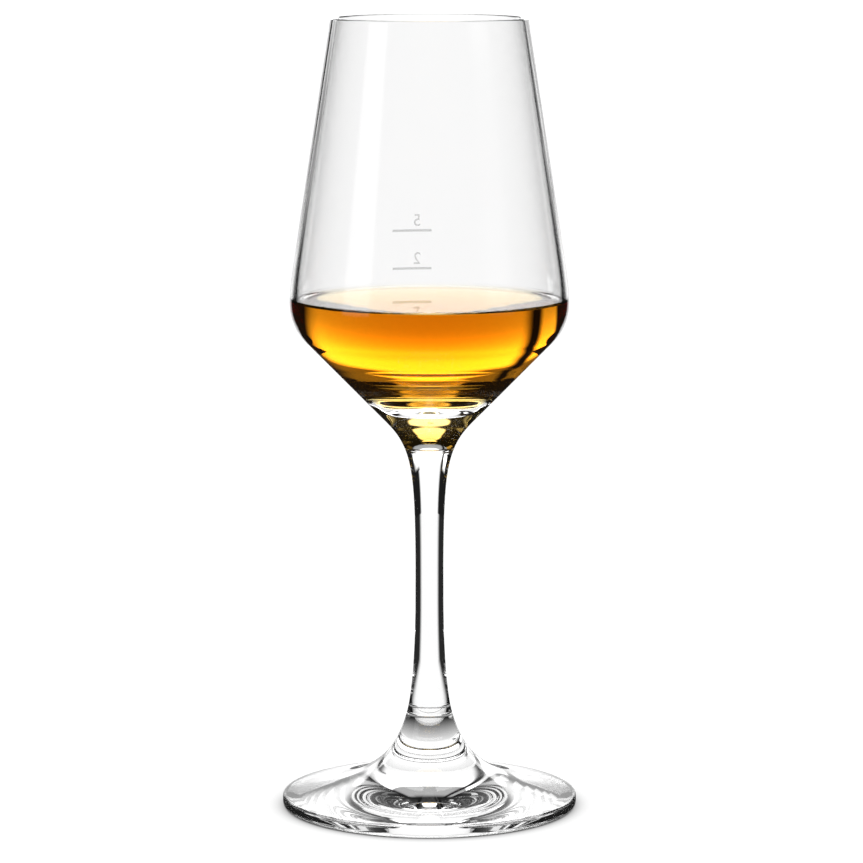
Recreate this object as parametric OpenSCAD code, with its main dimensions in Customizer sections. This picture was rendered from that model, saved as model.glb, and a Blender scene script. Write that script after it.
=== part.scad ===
// Stemmed whisky nosing glass with a measure of whisky in it.
// The bowl, the stem and the foot are three pieces of glass fused end to end on flat rings.
// Every profile is drawn as radius against height above the table and turned about the Z axis.

/* [Bowl] */
// Height of the whole glass from the table to the top of the lip
glass_h = 155; // [145:1:170]
// Outer diameter at the lip
mouth_d = 38.3; // [34:0.1:44]
// Outer diameter at the widest place of the bowl
belly_d = 54.5; // [50:0.1:60]
// Height of the widest place above the table
belly_z = 100; // [97:0.5:106]
// Height that the shoulder takes to lean over into the upper wall
shoulder_up_h = 2.4; // [1.5:0.1:4]
// Length of upper wall that the shoulder curve takes up
shoulder_up_run = 5.8; // [3:0.1:9]
// Height that the shoulder takes to turn into the cone below
shoulder_down_h = 4.7; // [3:0.1:6]
// Length of cone that the shoulder curve takes up
shoulder_down_run = 4.9; // [3:0.1:8]
// Diameter where the cone starts to round into the stem
neck_d = 18.6; // [15:0.1:22]
// Height of that place above the ring on the stem
neck_h = 5.9; // [4.5:0.1:7.5]

/* [Bowl wall] */
// Glass thickness at the fire polished lip
lip_wall = 0.85; // [0.6:0.05:1.2]
// Glass thickness at the widest place
belly_wall = 1.35; // [1:0.05:1.8]
// Height below the widest place where the inside turns into its cone
inner_drop_h = 5.2; // [4:0.1:6]
// Length of inner cone that the inner shoulder takes up
inner_drop_run = 3; // [2:0.1:5]
// Radius where the inner cone starts to round into the bottom
well_r = 10; // [8:0.5:13]
// Height of that place above the lowest ring inside
well_h = 2.5; // [1.5:0.1:4]
// Radius of the slight rise in the middle of the bottom
rise_r = 4.6; // [3:0.1:5.5]
// Height of that rise above the lowest ring inside
rise_h = 0.9; // [0.2:0.1:1.4]
// Solid glass between the lowest ring inside and the ring on the stem
base_glass_h = 10.8; // [9:0.1:13]

/* [Stem] */
// Height of the ring where the bowl is fused to the stem
upper_ring_z = 71.3; // [68:0.1:74]
// Diameter of that ring
upper_ring_d = 9.9; // [8:0.1:12]
// Diameter of the stem where it is thinnest
waist_d = 5.5; // [4.5:0.1:7]
// Height of the thinnest place above the table
waist_z = 42; // [36:1:50]
// Height of the ring where the stem is fused to the foot
lower_ring_z = 18.5; // [16:0.1:21]
// Diameter of that ring
lower_ring_d = 8.9; // [7.5:0.1:11]

/* [Foot] */
// Diameter of the foot
foot_d = 58; // [52:0.5:66]
// Thickness of the foot at its edge
foot_edge_h = 2.4; // [1.8:0.1:3.2]
// Height of the hollow under the middle of the foot
kick_h = 1.2; // [0.6:0.1:1.6]
// Outer diameter of the flat ring that stands on the table
rest_d = 56; // [50:0.5:57]
// Width of the flat ring that stands on the table
rest_w = 1.6; // [1:0.1:3]

/* [Whisky] */
// Height of the whisky's level above the table
pour_z = 100.1; // [93:0.1:103]
// Height that the whisky climbs up the glass at its edge
meniscus_h = 0.7; // [0.3:0.05:1]
// Width of that climbing edge
meniscus_w = 1.8; // [1:0.1:3]

/* [Fill lines] */
// Height of the lower fill line above the table
line_2cl_z = 103.5; // [103:0.1:108]
// Height of the upper fill line above the table
line_5cl_z = 110.9; // [110:0.1:120]
// Width of each printed line
line_w = 0.45; // [0.2:0.05:0.6]
// Length of each printed line along the wall
line_run = 8.2; // [4:0.1:12]
// Thickness of the fired enamel
enamel_t = 0.08; // [0.05:0.01:0.15]
// How far the middle of the lines lies to the left of the back of the glass, seen from the front
line_shift = 3.7; // [0:0.1:6]

/* [Finish] */
// Points along each curve of a profile
curve_steps = 12; // [8:1:20]

/* [Hidden] */
$fn = 128;

mouth_r = mouth_d / 2;
belly_r = belly_d / 2;
neck_r = neck_d / 2;
upper_ring_r = upper_ring_d / 2;
lower_ring_r = lower_ring_d / 2;
waist_r = waist_d / 2;
foot_r = foot_d / 2;
rest_r = rest_d / 2;
cavity_r = belly_r - belly_wall;
lip_r = lip_wall / 2;
lip_z = glass_h - lip_r;

// How steeply the glass passes each fused ring, from the upright
upper_ring_lean = 23.3;
lower_ring_lean = 15.4;

// How far each curve is pulled along its end directions, as shares of the height that it spans
neck_pull_share = 0.51;
neck_ring_pull_share = 0.45;
stem_top_pull_share = 0.165;
stem_waist_pull_share = 0.62;
stem_lower_pull_share = 0.41;
stem_foot_pull_share = 0.18;
flare_top_pull_share = 0.56;
well_pull_share = 0.5;
well_floor_share = 0.6;
rise_turn_share = 0.5;

// The foot's upper face: its slope at the edge, and how far in that slope pulls as a share of the radius
foot_slope = 9;
foot_pull_share = 0.6;

// Roundings of the foot's edge as shares of its thickness
edge_top_share = 0.3;
edge_bottom_share = 0.4;

// Share of the kick's radius that its dome pulls level
kick_flat_share = 0.45;

// Point at share t of the curve that a list of control points pulls
function pulled(p, t) = len(p) == 1 ? p[0]
    : pulled([for (i = [0 : len(p) - 2]) p[i] * (1 - t) + p[i + 1] * t], t);

// Points of that curve, both ends included
function curve(p) = [for (i = [0 : curve_steps]) pulled(p, i / curve_steps)];

// The same curve without its first point, to follow on from a piece that ends there
function curve_on(p) = [for (i = [1 : curve_steps]) pulled(p, i / curve_steps)];

// Unit direction from one point to another
function toward(a, b) = (b - a) / norm(b - a);

// Unit direction that leans out from the upright by an angle, going up
function leaning(a) = [sin(a), cos(a)];

// Radius of a profile at a height, read along its straight pieces
function radius_at(p, z) = [
    for (i = [0 : len(p) - 2])
        if ((p[i][1] - z) * (p[i + 1][1] - z) <= 0 && p[i][1] != p[i + 1][1])
            p[i][0] + (p[i + 1][0] - p[i][0]) * (z - p[i][1]) / (p[i + 1][1] - p[i][1])
][0];

// Outside of the bowl: straight upper wall, shoulder, cone, and the neck down to the stem
shoulder_top = [belly_r, belly_z + shoulder_up_h];
shoulder_low = [belly_r, belly_z - shoulder_down_h];
neck_top = [neck_r, upper_ring_z + neck_h];
upper_ring = [upper_ring_r, upper_ring_z];
wall_up = toward(shoulder_top, [mouth_r, lip_z]);
cone_down = toward(shoulder_low, neck_top);
bowl_outside = concat(
    [[mouth_r, lip_z]],
    curve([shoulder_top + wall_up * shoulder_up_run, shoulder_top, [belly_r, belly_z]]),
    curve_on([[belly_r, belly_z], shoulder_low, shoulder_low + cone_down * shoulder_down_run]),
    curve([
        neck_top,
        neck_top + cone_down * neck_h * neck_pull_share,
        upper_ring + leaning(upper_ring_lean) * neck_h * neck_ring_pull_share,
        upper_ring
    ])
);

// Inside of the bowl from the middle of its bottom up to the lip
well_z = upper_ring_z + base_glass_h;
well_top = [well_r, well_z + well_h];
rise_foot = [rise_r, well_z];
rise_turn_r = rise_r * rise_turn_share;
inner_top = [cavity_r, belly_z + shoulder_up_h];
inner_low = [cavity_r, belly_z - inner_drop_h];
inner_up = toward(inner_top, [mouth_r - lip_wall, lip_z]);
inner_down = toward(inner_low, well_top);
bowl_inside = concat(
    curve([[0, well_z + rise_h], [rise_turn_r, well_z + rise_h], [rise_turn_r, well_z], rise_foot]),
    curve_on([
        rise_foot,
        [well_r * well_floor_share, well_z],
        well_top + inner_down * well_h * well_pull_share,
        well_top
    ]),
    curve([inner_low + inner_down * inner_drop_run, inner_low, [cavity_r, belly_z]]),
    curve_on([[cavity_r, belly_z], inner_top, inner_top + inner_up * shoulder_up_run]),
    [[mouth_r - lip_wall, lip_z]]
);

// Half circle over the lip, from the inside to the outside
lip_round = [
    for (i = [1 : curve_steps - 1])
        [mouth_r - lip_r - lip_r * cos(180 * i / curve_steps), lip_z + lip_r * sin(180 * i / curve_steps)]
];

// Outside of the stem, from the upper ring down to the lower one
waist = [waist_r, waist_z];
lower_ring = [lower_ring_r, lower_ring_z];
stem_upper_h = upper_ring_z - waist_z;
stem_lower_h = waist_z - lower_ring_z;
stem_outside = concat(
    curve([
        upper_ring,
        upper_ring - leaning(upper_ring_lean) * stem_upper_h * stem_top_pull_share,
        waist + [0, stem_upper_h * stem_waist_pull_share],
        waist
    ]),
    curve_on([
        waist,
        waist - [0, stem_lower_h * stem_lower_pull_share],
        lower_ring + leaning(-lower_ring_lean) * stem_lower_h * stem_foot_pull_share,
        lower_ring
    ])
);

// Outside of the foot: flare, upper face, rounded edge, resting ring and the dome under the middle
edge_top = foot_edge_h * edge_top_share;
edge_bottom = foot_edge_h * edge_bottom_share;
edge_start = [foot_r - edge_top, foot_edge_h];
flare_h = lower_ring_z - foot_edge_h;
kick_r = rest_r - rest_w;
foot_outside = concat(
    curve([
        lower_ring,
        lower_ring - leaning(-lower_ring_lean) * flare_h * flare_top_pull_share,
        edge_start + [-cos(foot_slope), sin(foot_slope)] * foot_r * foot_pull_share,
        edge_start
    ]),
    curve_on([edge_start, [foot_r, foot_edge_h], [foot_r, foot_edge_h - edge_top]]),
    curve([[foot_r, edge_bottom], [foot_r, 0], [rest_r, 0]]),
    curve([[kick_r, 0], [kick_r * kick_flat_share, kick_h], [0, kick_h]])
);

// Surface of the whisky from the middle out to where it meets the glass
contact_z = pour_z + meniscus_h;
contact_r = radius_at(bowl_inside, contact_z);
whisky_top = concat(
    [[0, pour_z]],
    curve([[contact_r - meniscus_w, pour_z], [contact_r, pour_z], [contact_r, contact_z]])
);
whisky_side = [for (p = bowl_inside) if (p[1] < contact_z && p[1] <= belly_z + meniscus_h) p];

// Angles of the printed lines about the axis: the back of the glass lies at 90 degrees
function wall_turn(run, z) = run / radius_at(bowl_outside, z) * 180 / PI;

// A printed line: a short band of enamel that follows the outside of the wall at the back
module fill_line(z) {
    low = z - line_w / 2;
    high = z + line_w / 2;
    band = concat(
        [[radius_at(bowl_outside, low), low]],
        [for (i = [len(bowl_outside) - 1 : -1 : 0]) let (p = bowl_outside[i]) if (p[1] > low && p[1] < high) p],
        [[radius_at(bowl_outside, high), high]]
    );
    skin = [for (i = [len(band) - 1 : -1 : 0]) band[i] + [enamel_t, 0]];
    turn = wall_turn(line_run, z);
    rotate([0, 0, 90 + wall_turn(line_shift, z) - turn / 2])
        rotate_extrude(angle = turn)
            polygon(concat(band, skin));
}

module bowl() {
    color([0.86, 0.9, 0.92, 0.35])
        rotate_extrude()
            polygon(concat([[0, upper_ring_z]], bowl_inside, lip_round, bowl_outside));
}

module stem() {
    color([0.86, 0.9, 0.92, 0.35])
        rotate_extrude()
            polygon(concat([[0, lower_ring_z], [0, upper_ring_z]], stem_outside));
}

module foot() {
    color([0.86, 0.9, 0.92, 0.35])
        rotate_extrude()
            polygon(concat([[0, lower_ring_z]], foot_outside));
}

module whisky() {
    color([0.93, 0.58, 0.08, 0.75])
        rotate_extrude()
            polygon(concat(whisky_side, [for (i = [len(whisky_top) - 1 : -1 : 0]) whisky_top[i]]));
}

module fill_line_2cl() {
    color([0.72, 0.73, 0.74])
        fill_line(line_2cl_z);
}

module fill_line_5cl() {
    color([0.72, 0.73, 0.74])
        fill_line(line_5cl_z);
}

bowl();
stem();
foot();
whisky();
fill_line_2cl();
fill_line_5cl();
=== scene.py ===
import math
import bmesh
import bpy
import numpy as np
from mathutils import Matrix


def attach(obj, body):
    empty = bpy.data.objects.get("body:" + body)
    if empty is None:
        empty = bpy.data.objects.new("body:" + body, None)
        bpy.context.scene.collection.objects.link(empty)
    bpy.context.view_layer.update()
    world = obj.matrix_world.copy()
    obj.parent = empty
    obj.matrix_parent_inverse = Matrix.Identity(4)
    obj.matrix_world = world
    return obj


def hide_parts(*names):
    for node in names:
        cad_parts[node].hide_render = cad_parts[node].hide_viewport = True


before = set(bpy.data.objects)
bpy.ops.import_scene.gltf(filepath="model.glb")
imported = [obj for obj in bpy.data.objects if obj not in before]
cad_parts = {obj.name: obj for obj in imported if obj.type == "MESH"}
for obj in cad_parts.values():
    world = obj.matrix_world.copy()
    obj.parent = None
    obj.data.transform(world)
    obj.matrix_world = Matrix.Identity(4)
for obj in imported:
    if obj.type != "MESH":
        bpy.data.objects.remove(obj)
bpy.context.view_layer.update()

print("frame loaded:", ", ".join(sorted(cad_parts)))

mm = 0.001
segments = 256  # steps round the axis
curveSteps = 30  # points along each curve of a profile
same = 1e-6  # millimetres: nearer than this, two points are one


# Colours and nodes

def linear(hexColour, alpha=1.0):
    # sRGB hex to the linear values that the shaders take
    parts = [int(hexColour[i:i + 2], 16) / 255 for i in (1, 3, 5)]
    return [c / 12.92 if c <= 0.04045 else ((c + 0.055) / 1.055) ** 2.4 for c in parts] + [alpha]


def addNode(tree, kind, settings=None, links=None, **attributes):
    # one node, with its attributes, its socket values and what feeds its sockets
    node = tree.nodes.new(kind)
    for name, value in attributes.items():
        setattr(node, name, value)
    for name, value in (settings or {}).items():
        node.inputs[name].default_value = value
    for name, source in (links or {}).items():
        tree.links.new(source, node.inputs[name])
    return node


def newMaterial(name):
    material = bpy.data.materials.new(name)
    material.use_nodes = True
    material.node_tree.nodes.clear()
    return material, material.node_tree


# Profiles: radius and height in millimetres, turned about Z

def pulled(points, t):
    # the point at share t of the curve that these handles pull
    points = [np.array(p, float) for p in points]
    while len(points) > 1:
        points = [a * (1 - t) + b * t for a, b in zip(points, points[1:])]
    return points[0]


def curve(points, steps=curveSteps):
    return [pulled(points, i / steps) for i in range(steps + 1)]


def toward(a, b):
    # one unit along the way from a to b
    step = np.array(b, float) - np.array(a, float)
    return step / np.linalg.norm(step)


def leaning(degrees):
    # one unit upward, leaning out by so many degrees
    return np.array([math.sin(math.radians(degrees)), math.cos(math.radians(degrees))])


def joined(*stretches):
    # one profile from several, leaving out points that repeat
    points = []
    for stretch in stretches:
        for point in stretch:
            point = np.array(point, float)
            if not points or np.linalg.norm(point - points[-1]) > same:
                points.append(point)
    return points


def radiusAt(profile, height):
    # where the profile crosses this height
    for a, b in zip(profile, profile[1:]):
        if (a[1] - height) * (b[1] - height) <= 0 and a[1] != b[1]:
            return a[0] + (b[0] - a[0]) * (height - a[1]) / (b[1] - a[1])


def inset(profile, depth):
    # the same profile moved by depth to its left, which is into the liquid on the way down
    moved = []
    for i, point in enumerate(profile):
        along = toward(profile[max(i - 1, 0)], profile[min(i + 1, len(profile) - 1)])
        moved.append(point + np.array([along[1], -along[0]]) * depth)
    return moved


def turned(name, profile, materials, slotOf, flatAt=()):
    # a closed solid of revolution; slotOf gives the material slot of the stretch after point i
    vertices, rings = [], []
    for r, z in profile:
        if r < same:
            rings.append([len(vertices)])
            vertices.append((0, 0, z * mm))
        else:
            rings.append(list(range(len(vertices), len(vertices) + segments)))
            for k in range(segments):
                a = 2 * math.pi * k / segments
                vertices.append((r * mm * math.cos(a), r * mm * math.sin(a), z * mm))
    faces, slots, flats = [], [], []
    for i, (low, high) in enumerate(zip(rings, rings[1:])):
        for k in range(segments):
            j = (k + 1) % segments
            if len(low) == 1:
                faces.append((low[0], high[j], high[k]))
            elif len(high) == 1:
                faces.append((low[k], low[j], high[0]))
            else:
                faces.append((low[k], low[j], high[j], high[k]))
            slots.append(slotOf(i))
            flats.append(i in flatAt)
    mesh = bpy.data.meshes.new(name)
    mesh.from_pydata(vertices, [], faces)
    for material in materials:
        mesh.materials.append(material)
    mesh.polygons.foreach_set("material_index", slots)
    mesh.polygons.foreach_set("use_smooth", [not flat for flat in flats])
    mesh.update()
    piece = bpy.data.objects.new(name, mesh)
    bpy.context.scene.collection.objects.link(piece)
    return piece


# Glass: clear lead-free crystal, blown and pressed, then fire polished

glassFinish = {"colour": "#ffffff", "waveSpacing": 9.0, "waveDepth": 0.004}  # waves in millimetres


def crystalMaterial(name, ior):
    # smooth as it froze: sharp reflections, bent by the faint waves that a mould and a flame leave
    s = glassFinish
    material, tree = newMaterial(name)
    place = addNode(tree, "ShaderNodeTexCoord")
    waves = addNode(tree, "ShaderNodeTexNoise", {"Scale": 1 / (s["waveSpacing"] * mm), "Detail": 1.0},
                    {"Vector": place.outputs["Object"]})
    relief = addNode(tree, "ShaderNodeBump", {"Strength": 1.0, "Distance": s["waveDepth"] * mm},
                     {"Height": waves.outputs["Fac"]})
    shader = addNode(tree, "ShaderNodeBsdfPrincipled",
                     {"Base Color": linear(s["colour"]), "Roughness": 0.0, "IOR": ior,
                      "Transmission Weight": 1.0},
                     {"Normal": relief.outputs["Normal"]})
    addNode(tree, "ShaderNodeOutputMaterial", links={"Surface": shader.outputs["BSDF"]})
    return material


glassIor = 1.52
spiritIor = 1.36  # about 40% alcohol in water
crystal = crystalMaterial("fire polished crystal glass", glassIor)
wetCrystal = crystalMaterial("crystal glass wetted by spirit", glassIor / spiritIor)  # bends light less


def fusedMaterial():
    # where two pieces of hot glass were pressed together: the seam has melted away and shows nothing
    material, tree = newMaterial("fused glass seam")
    shader = addNode(tree, "ShaderNodeBsdfPrincipled",
                     {"Base Color": linear(glassFinish["colour"]), "Alpha": 0.0, "Roughness": 0.0,
                      "IOR": 1.0})
    addNode(tree, "ShaderNodeOutputMaterial", links={"Surface": shader.outputs["BSDF"]})
    return material


fused = fusedMaterial()

# in each shape, sizes are in millimetres, leans and slopes in degrees, and a pull is the share of the way
# that a curve's handle reaches
bowlShape = {
    "height": 155.0, "mouth": 38.3, "belly": 54.5, "bellyHeight": 100.0,
    "shoulderUp": 2.4, "shoulderUpRun": 5.8, "shoulderDown": 4.7, "shoulderDownRun": 4.9,
    "neck": 18.6, "neckHeight": 5.9, "neckPull": 0.51, "ringPull": 0.45,
    "lipWall": 0.85, "bellyWall": 1.35, "innerDrop": 5.2, "innerRun": 3.0,
    "wellRadius": 10.0, "wellHeight": 2.5, "baseGlass": 10.8, "wellFloor": 0.6, "wellPull": 0.5,
    "riseRadius": 4.6, "riseHeight": 0.9, "riseShare": 0.5, "coneSteps": 50, "lipSteps": 16,
    "ringHeight": 0.2, "ringSpacing": 4.0, "ringReach": 22.0,  # slight rings left by the blowing
}


def bowlOutside(s, stem):
    top = [s["belly"] / 2, s["bellyHeight"] + s["shoulderUp"]]
    widest = [s["belly"] / 2, s["bellyHeight"]]
    low = [s["belly"] / 2, s["bellyHeight"] - s["shoulderDown"]]
    neckTop = [s["neck"] / 2, stem["upperRing"] + s["neckHeight"]]
    ring = [stem["upperDiameter"] / 2, stem["upperRing"]]
    lip = [s["mouth"] / 2, s["height"] - s["lipWall"] / 2]
    wallUp = toward(top, lip)
    coneDown = toward(low, neckTop)
    return joined(
        [lip],
        curve([top + wallUp * s["shoulderUpRun"], top, widest]),
        curve([widest, low, low + coneDown * s["shoulderDownRun"]]),
        curve([neckTop, neckTop + coneDown * s["neckHeight"] * s["neckPull"],
               ring + leaning(stem["upperLean"]) * s["neckHeight"] * s["ringPull"], ring]),
    )


def ringed(profile, s):
    # waves in the height of the inner bottom, fading out up the cone
    for point in profile:
        fade = max(0, 1 - (point[0] / s["ringReach"]) ** 2)
        point[1] += s["ringHeight"] * math.cos(2 * math.pi * point[0] / s["ringSpacing"]) * fade
    return profile


def bowlInside(s, stem):
    cavity = s["belly"] / 2 - s["bellyWall"]
    floor = stem["upperRing"] + s["baseGlass"]
    riseFoot = [s["riseRadius"], floor]
    riseTurn = s["riseRadius"] * s["riseShare"]
    wellTop = [s["wellRadius"], floor + s["wellHeight"]]
    top = [cavity, s["bellyHeight"] + s["shoulderUp"]]
    widest = [cavity, s["bellyHeight"]]
    low = [cavity, s["bellyHeight"] - s["innerDrop"]]
    lip = [s["mouth"] / 2 - s["lipWall"], s["height"] - s["lipWall"] / 2]
    wallUp = toward(top, lip)
    coneDown = toward(low, wellTop)
    return joined(
        [lip],
        curve([top + wallUp * s["shoulderUpRun"], top, widest]),
        curve([widest, low, low + coneDown * s["innerRun"]]),
        ringed(joined(
            curve([low + coneDown * s["innerRun"], wellTop], s["coneSteps"]),
            curve([wellTop, wellTop + coneDown * s["wellHeight"] * s["wellPull"],
                   [s["wellRadius"] * s["wellFloor"], floor], riseFoot]),
            curve([riseFoot, [riseTurn, floor], [riseTurn, floor + s["riseHeight"]],
                   [0, floor + s["riseHeight"]]]),
        ), s),
    )


stemShape = {
    "upperRing": 71.3, "upperDiameter": 9.9, "upperLean": 23.3, "waist": 5.5, "waistHeight": 42.0,
    "lowerRing": 18.5, "lowerDiameter": 8.9, "lowerLean": 15.4,
    "topPull": 0.165, "upperWaistPull": 0.62, "lowerWaistPull": 0.41, "footPull": 0.18,
}


def stemOutside(s):
    upper = np.array([s["upperDiameter"] / 2, s["upperRing"]])
    waist = np.array([s["waist"] / 2, s["waistHeight"]])
    lower = np.array([s["lowerDiameter"] / 2, s["lowerRing"]])
    above = s["upperRing"] - s["waistHeight"]
    below = s["waistHeight"] - s["lowerRing"]
    return joined(
        curve([upper, upper - leaning(s["upperLean"]) * above * s["topPull"],
               waist + [0, above * s["upperWaistPull"]], waist]),
        curve([waist, waist - [0, below * s["lowerWaistPull"]],
               lower + leaning(-s["lowerLean"]) * below * s["footPull"], lower]),
    )


footShape = {
    "diameter": 58.0, "edge": 2.4, "kick": 1.2, "restDiameter": 56.0, "restWidth": 1.6,
    "flarePull": 0.56, "slope": 9.0, "slopePull": 0.6, "edgeTop": 0.3, "edgeBottom": 0.4, "kickFlat": 0.45,
    "faceSteps": 60, "edgeSteps": 10,
}


def footOutside(s, stem):
    radius = s["diameter"] / 2
    rest = s["restDiameter"] / 2
    kick = rest - s["restWidth"]
    ring = np.array([stem["lowerDiameter"] / 2, stem["lowerRing"]])
    edgeTop = s["edge"] * s["edgeTop"]
    edgeStart = np.array([radius - edgeTop, s["edge"]])
    flare = stem["lowerRing"] - s["edge"]
    slope = math.radians(s["slope"])
    inward = np.array([-math.cos(slope), math.sin(slope)])
    return joined(
        curve([ring, ring - leaning(-stem["lowerLean"]) * flare * s["flarePull"],
               edgeStart + inward * radius * s["slopePull"], edgeStart], s["faceSteps"]),
        curve([edgeStart, [radius, s["edge"]], [radius, s["edge"] - edgeTop]], s["edgeSteps"]),
        curve([[radius, s["edge"] * s["edgeBottom"]], [radius, 0], [rest, 0]], s["edgeSteps"]),
        curve([[kick, 0], [kick * s["kickFlat"], s["kick"]], [0, s["kick"]]]),
    )


outside = bowlOutside(bowlShape, stemShape)
inside = bowlInside(bowlShape, stemShape)


def bowlProfile():
    # the closed profile and the point where the whisky starts to wet it
    s = bowlShape
    lipRadius = s["lipWall"] / 2
    lipCentre = np.array([s["mouth"] / 2 - lipRadius, s["height"] - lipRadius])
    turns = np.linspace(0, math.pi, s["lipSteps"] + 1)
    lip = [lipCentre + lipRadius * np.array([math.cos(a), math.sin(a)]) for a in turns]
    contact = [radiusAt(inside, contactHeight), contactHeight]
    dry = [p for p in inside if p[1] > contactHeight + whisky["clearance"]] + [contact]
    wet = [contact] + [p for p in inside if p[1] < contactHeight - whisky["clearance"]]
    upper = joined([[0, stemShape["upperRing"]]], outside[::-1], lip, dry)
    return joined(upper, wet), len(upper) - 1


def makeBowl():
    # glass in air, the seam on the stem, and the part of the inside that the whisky wets
    profile, wetFrom = bowlProfile()
    piece = turned("bowl_glass", profile, [crystal, fused, wetCrystal],
                   lambda i: 1 if i == 0 else (2 if i >= wetFrom else 0), flatAt={0})
    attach(piece, "root")
    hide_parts("bowl")


def makeStem():
    profile = joined([[0, stemShape["lowerRing"]]], stemOutside(stemShape)[::-1],
                     [[0, stemShape["upperRing"]]])
    last = len(profile) - 2
    piece = turned("stem_glass", profile, [crystal, fused],
                   lambda i: 1 if i in (0, last) else 0, flatAt={0, last})
    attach(piece, "root")
    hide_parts("stem")


def makeFoot():
    profile = joined(footOutside(footShape, stemShape)[::-1], [[0, stemShape["lowerRing"]]])
    last = len(profile) - 2
    piece = turned("foot_glass", profile, [crystal, fused],
                   lambda i: 1 if i == last else 0, flatAt={last})
    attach(piece, "root")
    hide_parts("foot")


# Whisky: cask aged spirit, clear amber; colour comes from its depth

whisky = {
    "level": 100.1, "meniscus": 0.7, "meniscusWidth": 1.8, "meniscusTurn": 0.25,
    "gap": 0.02, "sideStart": 0.2, "clearance": 0.01,  # clearance: of other points from the wetted edge
    "clear": "#ffffff", "amber": "#f8df4b", "density": 140.0,  # density: per metre of depth
}
contactHeight = whisky["level"] + whisky["meniscus"]


def whiskyMaterial():
    # one material for the whole body of liquid, so that light entering by the side can leave by the top;
    # the open surface bends light from air, and the wetted glass has bent it already at the side
    material, tree = newMaterial("cask aged whisky")
    where = addNode(tree, "ShaderNodeAttribute", attribute_name="openSurface")
    side, top = [addNode(tree, "ShaderNodeBsdfPrincipled",
                         {"Base Color": linear(whisky["clear"]), "Roughness": 0.0, "IOR": ior,
                          "Transmission Weight": 1.0})
                 for ior in (1.0, spiritIor)]
    both = addNode(tree, "ShaderNodeMixShader", links={"Fac": where.outputs["Fac"]})
    tree.links.new(side.outputs["BSDF"], both.inputs[1])
    tree.links.new(top.outputs["BSDF"], both.inputs[2])
    depth = addNode(tree, "ShaderNodeVolumeAbsorption",
                    {"Color": linear(whisky["amber"]), "Density": whisky["density"]})
    addNode(tree, "ShaderNodeOutputMaterial",
            links={"Surface": both.outputs[0], "Volume": depth.outputs["Volume"]})
    return material


def whiskyProfile():
    # from the middle of the surface out to the meniscus and down the side to the bottom
    s = whisky
    contact = radiusAt(inside, contactHeight) - s["gap"]
    surface = joined([[0, s["level"]]],
                     curve([[contact - s["meniscusWidth"], s["level"]],
                            [contact - s["meniscusTurn"], s["level"]], [contact, contactHeight]]))
    side = inset([p for p in inside if p[1] < contactHeight - s["sideStart"]], s["gap"])
    side[-1][0] = 0
    return joined(surface, side), len(surface) - 1


def markSurface(piece, firstStretch):
    # the faces of the open surface, which are the last stretches of the profile
    marks = piece.data.attributes.new("openSurface", "FLOAT", "FACE")
    faces = range(len(piece.data.polygons))
    marks.data.foreach_set("value", [float(i // segments >= firstStretch) for i in faces])


def makeWhisky():
    profile, surfaceEnd = whiskyProfile()
    piece = turned("whisky_measure", profile[::-1], [whiskyMaterial()], lambda i: 0)
    markSurface(piece, len(profile) - 1 - surfaceEnd)
    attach(piece, "root")
    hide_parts("whisky")


makeBowl()
makeStem()
makeFoot()
makeWhisky()
print("glass and whisky made")


# Enamel: pale grey ceramic ink, screened on thin and fired

enamelFinish = {"grey": "#c9cacb", "roughness": 0.45, "cover": 0.2, "grain": 0.15, "grainDepth": 0.01}


def enamelMaterial():
    # a satin, slightly grainy print, so thin that most of the light still comes through
    s = enamelFinish
    material, tree = newMaterial("fired ceramic enamel")
    grain = addNode(tree, "ShaderNodeTexNoise", {"Scale": 1 / (s["grain"] * mm), "Detail": 2.0})
    relief = addNode(tree, "ShaderNodeBump", {"Strength": 0.5, "Distance": s["grainDepth"] * mm},
                     {"Height": grain.outputs["Fac"]})
    shader = addNode(tree, "ShaderNodeBsdfPrincipled",
                     {"Base Color": linear(s["grey"]), "Roughness": s["roughness"], "Alpha": s["cover"]},
                     {"Normal": relief.outputs["Normal"]})
    addNode(tree, "ShaderNodeOutputMaterial", links={"Surface": shader.outputs["BSDF"]})
    return material


enamel = enamelMaterial()
for lineName in ("fill_line_2cl", "fill_line_5cl"):
    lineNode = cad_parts[lineName]
    lineNode.data.materials.clear()
    lineNode.data.materials.append(enamel)


# each figure with the height of its line; sizes are in millimetres, and cuts is a count
markShape = {"low": ("2", 103.5), "high": ("5", 110.9), "digitHeight": 2.3, "rise": 0.85, "sideways": 2.6,
             "thickness": 0.08, "sunk": 0.01, "cuts": 2}


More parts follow.
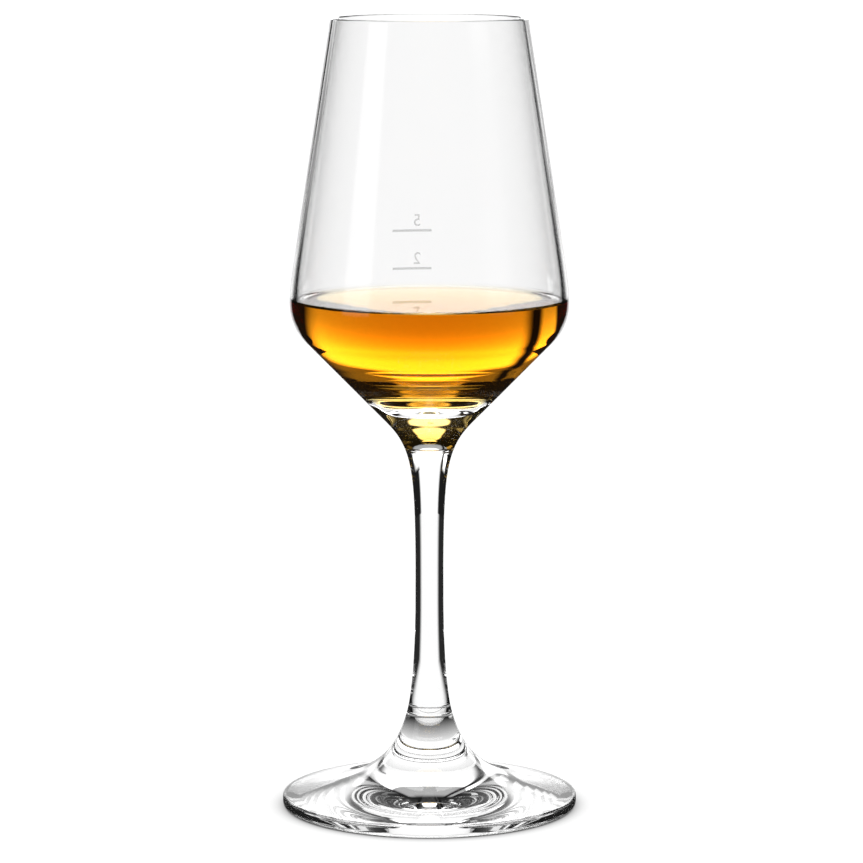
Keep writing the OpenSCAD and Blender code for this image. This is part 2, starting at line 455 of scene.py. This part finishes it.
def makeDigit(digit, lineHeight):
    # a plain figure above its line, printed to be read from outside, on the same wall as the line
    s = markShape
    text = bpy.data.curves.new("figure", "FONT")
    text.body = digit
    text.size = 1
    flat = bpy.data.objects.new("figure", text)
    bpy.context.scene.collection.objects.link(flat)
    shape = bpy.data.meshes.new_from_object(flat.evaluated_get(bpy.context.evaluated_depsgraph_get()))
    bpy.data.objects.remove(flat)
    work = bmesh.new()
    work.from_mesh(shape)
    bmesh.ops.subdivide_edges(work, edges=work.edges, cuts=s["cuts"], use_grid_fill=True)
    low = min(v.co.y for v in work.verts)
    size = s["digitHeight"] / (max(v.co.y for v in work.verts) - low)
    middle = (min(v.co.x for v in work.verts) + max(v.co.x for v in work.verts)) / 2
    front = list(work.faces)
    back = bmesh.ops.extrude_face_region(work, geom=front)
    outer = {v for v in back["geom"] if isinstance(v, bmesh.types.BMVert)}
    for v in work.verts:
        z = lineHeight + s["rise"] + (v.co.y - low) * size
        r = radiusAt(outside, z) + (s["thickness"] if v in outer else -s["sunk"])
        turn = ((v.co.x - middle) * size + s["sideways"]) / radiusAt(outside, z)
        v.co = (-r * math.sin(turn) * mm, r * math.cos(turn) * mm, z * mm)
    bmesh.ops.recalc_face_normals(work, faces=work.faces)
    work.to_mesh(shape)
    work.free()
    piece = bpy.data.objects.new("fill_figure_" + digit, shape)
    shape.materials.append(enamel)
    bpy.context.scene.collection.objects.link(piece)
    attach(piece, "root")


makeDigit(*markShape["low"])
makeDigit(*markShape["high"])
print("fill lines and figures finished")


# Camera at the photograph's viewing angle: millimetres, and degrees down

view = {"distance": 754.7, "height": 183.7, "pitch": 8.24, "side": 0.4, "lens": 162.65, "film": 36,
        "near": 10}
camera = bpy.data.objects.new("camera", bpy.data.cameras.new("camera"))
bpy.context.scene.collection.objects.link(camera)
camera.location = (view["side"] * mm, -view["distance"] * mm, view["height"] * mm)
camera.rotation_euler = (math.radians(90 - view["pitch"]), 0, 0)
camera.data.sensor_width = view["film"]
camera.data.lens = view["lens"]
camera.data.clip_start = view["near"] * mm
bpy.context.scene.camera = camera


# Studio: lit white panels behind the glass, soft boxes at both sides and overhead, a pale sheet under it

studio = {
    # metres and degrees; a soft edge is a share of its panel's width or height
    # panels behind: name, left, right, bottom, and soft edges left, right and bottom
    "backPanels": (("back_card", -0.255, 0.255, -0.05, 0.12, 0.12, 0),
                   ("back_strip", -0.5, -0.28, 0.1, 0.3, 0.2, 0.05),
                   ("back_wing", 0.2, 0.45, 0.1, 0, 0.72, 0.05)),
    # levels: from height, to height, and how many times brighter the card is from there on
    "cardDistance": 0.5, "cardTop": 0.7, "cardLight": 1.12, "topFade": 0.24, "standForward": 0.01,
    "cardLevels": ((0.12, 0.15, 1.1), (0.14, 0.25, 4.0), (0.28, 0.33, 0.1)),
    "overheadWidth": 0.3, "overheadDepth": 0.3, "overheadPlace": (0, 0.15, 0.55), "overheadLight": 2.8,
    "overheadEdge": 0.1, "sideDistance": 0.5, "sideHeight": 0.48, "sideMiddle": 0.25,
    "sideEdges": (0.12, 0.12, 0.1, 0.1), "leftTurn": -61.5, "leftWidth": 0.25, "leftLight": 0.85,
    "rightTurn": 60.6, "rightWidth": 0.23, "rightLight": 0.16,
    # the sheet: grazing goes from 0, seen square on, to 1; the fan fades between two angles
    "floorRadius": 0.49, "floorSides": 96, "floorDrop": 0.00005, "floorGlow": 1.09,
    "glowGrazing": (0.2, 0.4), "fan": (21, 33), "fanSides": 0.02,
    # contactShade: how far the painted shadow round the foot reaches, in metres
    "contactShade": 0.006, "contactSamples": 16,
    "lampGlow": 1.1, "lampPlace": (0, 0.08, 0), "lampRadii": (0.055, 0.09), "lampNarrowing": 1.6,
    "white": 1.1, "dark": 0.012,
}

rig = bpy.data.objects.new("studio_rig", None)
bpy.context.scene.collection.objects.link(rig)
follow = rig.constraints.new("COPY_ROTATION")
follow.target = camera
follow.use_x = False
follow.use_y = False
follow.use_z = True


def card(name, width, height, place, turn, light, fades, levels=()):
    # cloth lit from behind, hidden from the camera: an even white glow that dies away at its edges;
    # fades: soft edges left, right, bottom, top; levels: as in studio, but in shares of the height
    material, tree = newMaterial("woven diffusion cloth")
    where = addNode(tree, "ShaderNodeTexCoord")
    parts = addNode(tree, "ShaderNodeSeparateXYZ", links={"Vector": where.outputs["Generated"]})
    steps = [("X", 0, fades[0], 0, 1), ("X", 1, 1 - fades[1], 0, 1), ("Y", 0, fades[2], 0, 1),
             ("Y", 1, 1 - fades[3], 0, 1)]
    steps += [("Y", start, end, 1, times) for start, end, times in levels]
    power = addNode(tree, "ShaderNodeValue").outputs[0]
    power.default_value = light
    for axis, start, end, low, high in steps:
        if start != end:
            ramp = addNode(tree, "ShaderNodeMapRange",
                           {"From Min": start, "From Max": end, "To Min": low, "To Max": high},
                           {"Value": parts.outputs[axis]}, interpolation_type="SMOOTHSTEP")
            product = addNode(tree, "ShaderNodeMath", links={0: power, 1: ramp.outputs[0]},
                              operation="MULTIPLY")
            power = product.outputs[0]
    glow = addNode(tree, "ShaderNodeEmission", {"Color": (1, 1, 1, 1)}, {"Strength": power})
    addNode(tree, "ShaderNodeOutputMaterial", links={"Surface": glow.outputs[0]})
    mesh = bpy.data.meshes.new(name)
    w, h = width / 2, height / 2
    mesh.from_pydata([(-w, -h, 0), (w, -h, 0), (w, h, 0), (-w, h, 0)], [], [(0, 1, 2, 3)])
    mesh.materials.append(material)
    panel = bpy.data.objects.new(name, mesh)
    bpy.context.scene.collection.objects.link(panel)
    panel.location = place
    panel.rotation_euler = [math.radians(a) for a in turn]
    panel.parent = rig
    panel.visible_camera = False


def makeCards():
    s = studio
    for name, left, right, bottom, leftFade, rightFade, bottomFade in s["backPanels"]:
        height = s["cardTop"] - bottom
        levels = [((start - bottom) / height, (end - bottom) / height, times)
                  for start, end, times in s["cardLevels"]]
        forward = max(bottom, 0) * s["standForward"]  # the raised panels stand just in front of the card
        place = ((left + right) / 2, s["cardDistance"] - forward, bottom + height / 2)
        card(name, right - left, height, place, (90, 0, 0), s["cardLight"],
             (leftFade, rightFade, bottomFade, s["topFade"]), levels)
    for side in ("left", "right"):
        turn = math.radians(s[side + "Turn"])
        place = (s["sideDistance"] * math.sin(turn), -s["sideDistance"] * math.cos(turn), s["sideMiddle"])
        card(side + "_box", s[side + "Width"], s["sideHeight"], place, (90, 0, s[side + "Turn"]),
             s[side + "Light"], s["sideEdges"])
    card("overhead", s["overheadWidth"], s["overheadDepth"], s["overheadPlace"], (0, 0, 0),
         s["overheadLight"], (s["overheadEdge"],) * 4)


makeCards()


def makeFloor():
    # matt and pale all over to the eye, with a painted soft shadow where the foot stands, its glow
    # darkened by ambient occlusion; what the glass bends towards the eye comes from a glowing fan behind
    # the foot and from a lamp under the sheet
    s = studio
    material, tree = newMaterial("cast opal acrylic sheet")
    slant = addNode(tree, "ShaderNodeLayerWeight", {"Blend": 0.5})
    glow = addNode(tree, "ShaderNodeMapRange",
                   {"From Min": s["glowGrazing"][0], "From Max": s["glowGrazing"][1],
                    "To Max": s["floorGlow"]},
                   {"Value": slant.outputs["Facing"]}, interpolation_type="SMOOTHSTEP")
    where = addNode(tree, "ShaderNodeTexCoord")
    parts = addNode(tree, "ShaderNodeSeparateXYZ", links={"Vector": where.outputs["Object"]})
    aside = addNode(tree, "ShaderNodeMath", links={0: parts.outputs["X"]}, operation="ABSOLUTE")
    turn = addNode(tree, "ShaderNodeMath", links={0: aside.outputs[0], 1: parts.outputs["Y"]},
                   operation="ARCTAN2")
    inner, outer = [math.radians(a) for a in s["fan"]]
    fan = addNode(tree, "ShaderNodeMapRange",
                  {"From Min": inner, "From Max": outer, "To Min": 1.0, "To Max": s["fanSides"]},
                  {"Value": turn.outputs[0]}, interpolation_type="SMOOTHSTEP")
    fanned = addNode(tree, "ShaderNodeMath", links={0: glow.outputs[0], 1: fan.outputs[0]},
                     operation="MULTIPLY")
    narrowed = addNode(tree, "ShaderNodeVectorMath", {1: (s["lampNarrowing"], 1, 1)},
                       {0: where.outputs["Object"]}, operation="MULTIPLY")
    away = addNode(tree, "ShaderNodeVectorMath", {1: s["lampPlace"]}, {0: narrowed.outputs["Vector"]},
                   operation="DISTANCE")
    lamp = addNode(tree, "ShaderNodeMapRange",
                   {"From Min": s["lampRadii"][0], "From Max": s["lampRadii"][1], "To Min": s["lampGlow"],
                    "To Max": 0.0},
                   {"Value": away.outputs["Value"]}, interpolation_type="SMOOTHSTEP")
    power = addNode(tree, "ShaderNodeMath", links={0: fanned.outputs[0], 1: lamp.outputs[0]},
                    operation="MAXIMUM")
    bent = addNode(tree, "ShaderNodeEmission", {"Color": (1, 1, 1, 1)}, {"Strength": power.outputs[0]})
    # painted shadow: ambient occlusion darkens the sheet's glow round the foot, for camera rays only
    contact = addNode(tree, "ShaderNodeAmbientOcclusion", {"Distance": s["contactShade"]},
                      samples=s["contactSamples"])
    pale = addNode(tree, "ShaderNodeEmission", {"Strength": s["white"]},
                   {"Color": contact.outputs["Color"]})
    ray = addNode(tree, "ShaderNodeLightPath")
    both = addNode(tree, "ShaderNodeMixShader", links={"Fac": ray.outputs["Is Camera Ray"]})
    tree.links.new(bent.outputs[0], both.inputs[1])
    tree.links.new(pale.outputs[0], both.inputs[2])
    addNode(tree, "ShaderNodeOutputMaterial", links={"Surface": both.outputs[0]})
    mesh = bpy.data.meshes.new("floor")
    count = s["floorSides"]
    r = s["floorRadius"]
    angles = [2 * math.pi * k / count for k in range(count)]
    rim = [(r * math.cos(a), r * math.sin(a), -s["floorDrop"]) for a in angles]
    mesh.from_pydata(rim, [], [tuple(range(count))])
    mesh.materials.append(material)
    floor = bpy.data.objects.new("floor", mesh)
    bpy.context.scene.collection.objects.link(floor)
    floor.parent = rig
    floor.visible_glossy = False


makeFloor()


def makeWorld():
    # the camera sees a white studio; the glass sees dark walls beyond the cards
    world = bpy.data.worlds.new("studio")
    bpy.context.scene.world = world
    world.use_nodes = True
    tree = world.node_tree
    tree.nodes.clear()
    ray = addNode(tree, "ShaderNodeLightPath")
    white = addNode(tree, "ShaderNodeBackground", {"Color": (1, 1, 1, 1), "Strength": studio["white"]})
    dark = addNode(tree, "ShaderNodeBackground", {"Color": (1, 1, 1, 1), "Strength": studio["dark"]})
    both = addNode(tree, "ShaderNodeMixShader", links={"Fac": ray.outputs["Is Camera Ray"]})
    tree.links.new(dark.outputs[0], both.inputs[1])
    tree.links.new(white.outputs[0], both.inputs[2])
    addNode(tree, "ShaderNodeOutputWorld", links={"Surface": both.outputs[0]})


makeWorld()

# light crosses many glass walls before it gets out, so it is followed for long
lightPath = {"bounces": 32, "reflections": 16, "seams": 16}
scene = bpy.context.scene
scene.view_settings.view_transform = "Standard"
scene.cycles.max_bounces = lightPath["bounces"]
scene.cycles.transmission_bounces = lightPath["bounces"]
scene.cycles.glossy_bounces = lightPath["reflections"]
scene.cycles.transparent_max_bounces = lightPath["seams"]
scene.cycles.caustics_reflective = True
scene.cycles.caustics_refractive = True
print("studio made")
